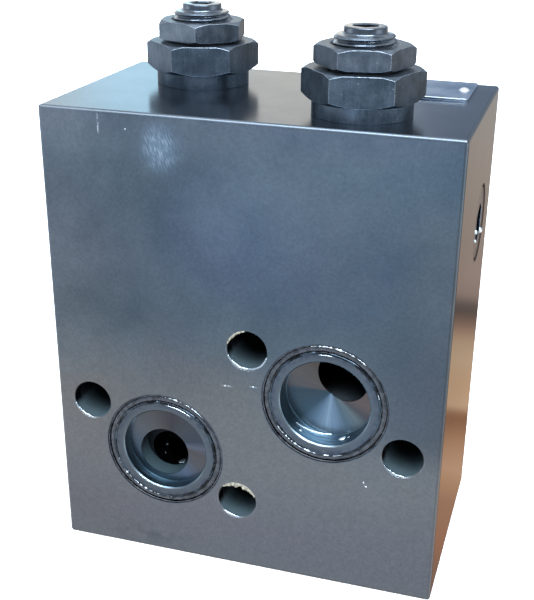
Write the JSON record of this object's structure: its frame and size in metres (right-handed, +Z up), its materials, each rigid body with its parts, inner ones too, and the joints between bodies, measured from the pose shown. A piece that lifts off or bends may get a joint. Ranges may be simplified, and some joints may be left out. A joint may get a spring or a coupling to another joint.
{
  "type": "dual relief valve manifold",
  "caption": "Dark steel manifold block with adjustable screw-in relief cartridges on top and O-ring sealed, bolted ports on its front.",
  "frame": {"origin": "middle of the block's underside", "axes": "+Z up, along the cartridges; -Y out of the mounting face with the two sealed ports; +X to the side of the higher port"},
  "size_m": [0.11, 0.066, 0.1519],
  "materials": {
    "block_steel": "burnished black-oxide steel, satin, lightly oiled",
    "cartridge_steel": "black-oxide steel, oily, bright worn edges",
    "nut_steel": "black-oxide steel, oily, bright worn edges",
    "adjuster_steel": "black-oxide steel, glossy with oil",
    "seal_rubber": "nitrile rubber, wet with oil",
    "backup_plastic": "white fluoroplastic",
    "plug_steel": "black-oxide steel, oily",
    "plate_metal": "smooth, glossy, faintly blue",
    "bright_steel": "polished rivet head",
    "hard_steel": "ground hardened steel"
  },
  "bodies": {
    "block": {"manifold_block": "block_steel", "port_o_ring_left": "seal_rubber", "port_o_ring_right": "seal_rubber", "side_plug_left": "plug_steel", "side_plug_right": "plug_steel", "side_plug_o_ring_left": "seal_rubber", "side_plug_o_ring_right": "seal_rubber", "bottom_plugs": "plug_steel", "nameplate": "plate_metal", "nameplate_rivets": "bright_steel", "left_cartridge_body": "cartridge_steel", "left_valve_seat": "hard_steel", "left_body_o_ring": "seal_rubber", "left_nose_o_ring": "seal_rubber", "left_nose_backup_rings": "backup_plastic", "right_cartridge_body": "cartridge_steel", "right_valve_seat": "hard_steel", "right_body_o_ring": "seal_rubber", "right_nose_o_ring": "seal_rubber", "right_nose_backup_rings": "backup_plastic"},
    "left_poppet": {"left_poppet": "hard_steel", "left_spring": "hard_steel"},
    "left_spring_guide": {"left_spring_guide": "hard_steel"},
    "left_adjuster": {"left_adjuster_screw": "adjuster_steel", "left_adjuster_o_ring": "seal_rubber"},
    "left_seal_washer": {"left_seal_washer": "seal_rubber"},
    "left_locknut": {"left_locknut": "nut_steel"},
    "right_poppet": {"right_poppet": "hard_steel", "right_spring": "hard_steel"},
    "right_spring_guide": {"right_spring_guide": "hard_steel"},
    "right_adjuster": {"right_adjuster_screw": "adjuster_steel", "right_adjuster_o_ring": "seal_rubber"},
    "right_seal_washer": {"right_seal_washer": "seal_rubber"},
    "right_locknut": {"right_locknut": "nut_steel"}
  },
  "joints": [
    {"name": "left_adjuster_turn", "type": "hinge", "parent": "left_spring_guide", "child": "left_adjuster", "pos_m": [-0.02575, 0.0099, 0.1419], "axis": [0, 0, 1], "range_deg": [-541, 361]},
    {"name": "left_adjuster_travel", "type": "slide", "parent": "block", "child": "left_spring_guide", "axis": [0, 0, 1], "range_m": [-0.00225, 0.0015], "deforming": ["left_spring"]},
    {"name": "left_locknut_turn", "type": "hinge", "parent": "left_seal_washer", "child": "left_locknut", "pos_m": [-0.02575, 0.0099, 0.1419], "axis": [0, 0, 1], "range_deg": [-1, 361]},
    {"name": "left_locknut_travel", "type": "slide", "parent": "block", "child": "left_seal_washer", "axis": [0, 0, 1], "range_m": [0, 0.0015]},
    {"name": "left_poppet_lift", "type": "slide", "parent": "block", "child": "left_poppet", "axis": [0, 0, 1], "range_m": [0, 0.0015], "stiffness_N_per_m": 20000, "springref_m": -0.004, "deforming": ["left_spring"]},
    {"name": "right_adjuster_turn", "type": "hinge", "parent": "right_spring_guide", "child": "right_adjuster", "pos_m": [0.02575, -0.0143, 0.1419], "axis": [0, 0, 1], "range_deg": [-541, 361]},
    {"name": "right_adjuster_travel", "type": "slide", "parent": "block", "child": "right_spring_guide", "axis": [0, 0, 1], "range_m": [-0.00225, 0.0015], "deforming": ["right_spring"]},
    {"name": "right_locknut_turn", "type": "hinge", "parent": "right_seal_washer", "child": "right_locknut", "pos_m": [0.02575, -0.0143, 0.1419], "axis": [0, 0, 1], "range_deg": [-1, 361]},
    {"name": "right_locknut_travel", "type": "slide", "parent": "block", "child": "right_seal_washer", "axis": [0, 0, 1], "range_m": [0, 0.0015]},
    {"name": "right_poppet_lift", "type": "slide", "parent": "block", "child": "right_poppet", "axis": [0, 0, 1], "range_m": [0, 0.0015], "stiffness_N_per_m": 20000, "springref_m": -0.004, "deforming": ["right_spring"]}
  ],
  "couplings": [
    {"joint": "left_adjuster_turn", "follows": "left_adjuster_travel", "rad_per_m": 4188.8},
    {"joint": "left_locknut_turn", "follows": "left_locknut_travel", "rad_per_m": 4188.8},
    {"joint": "right_adjuster_turn", "follows": "right_adjuster_travel", "rad_per_m": 4188.8},
    {"joint": "right_locknut_turn", "follows": "right_locknut_travel", "rad_per_m": 4188.8}
  ]
}
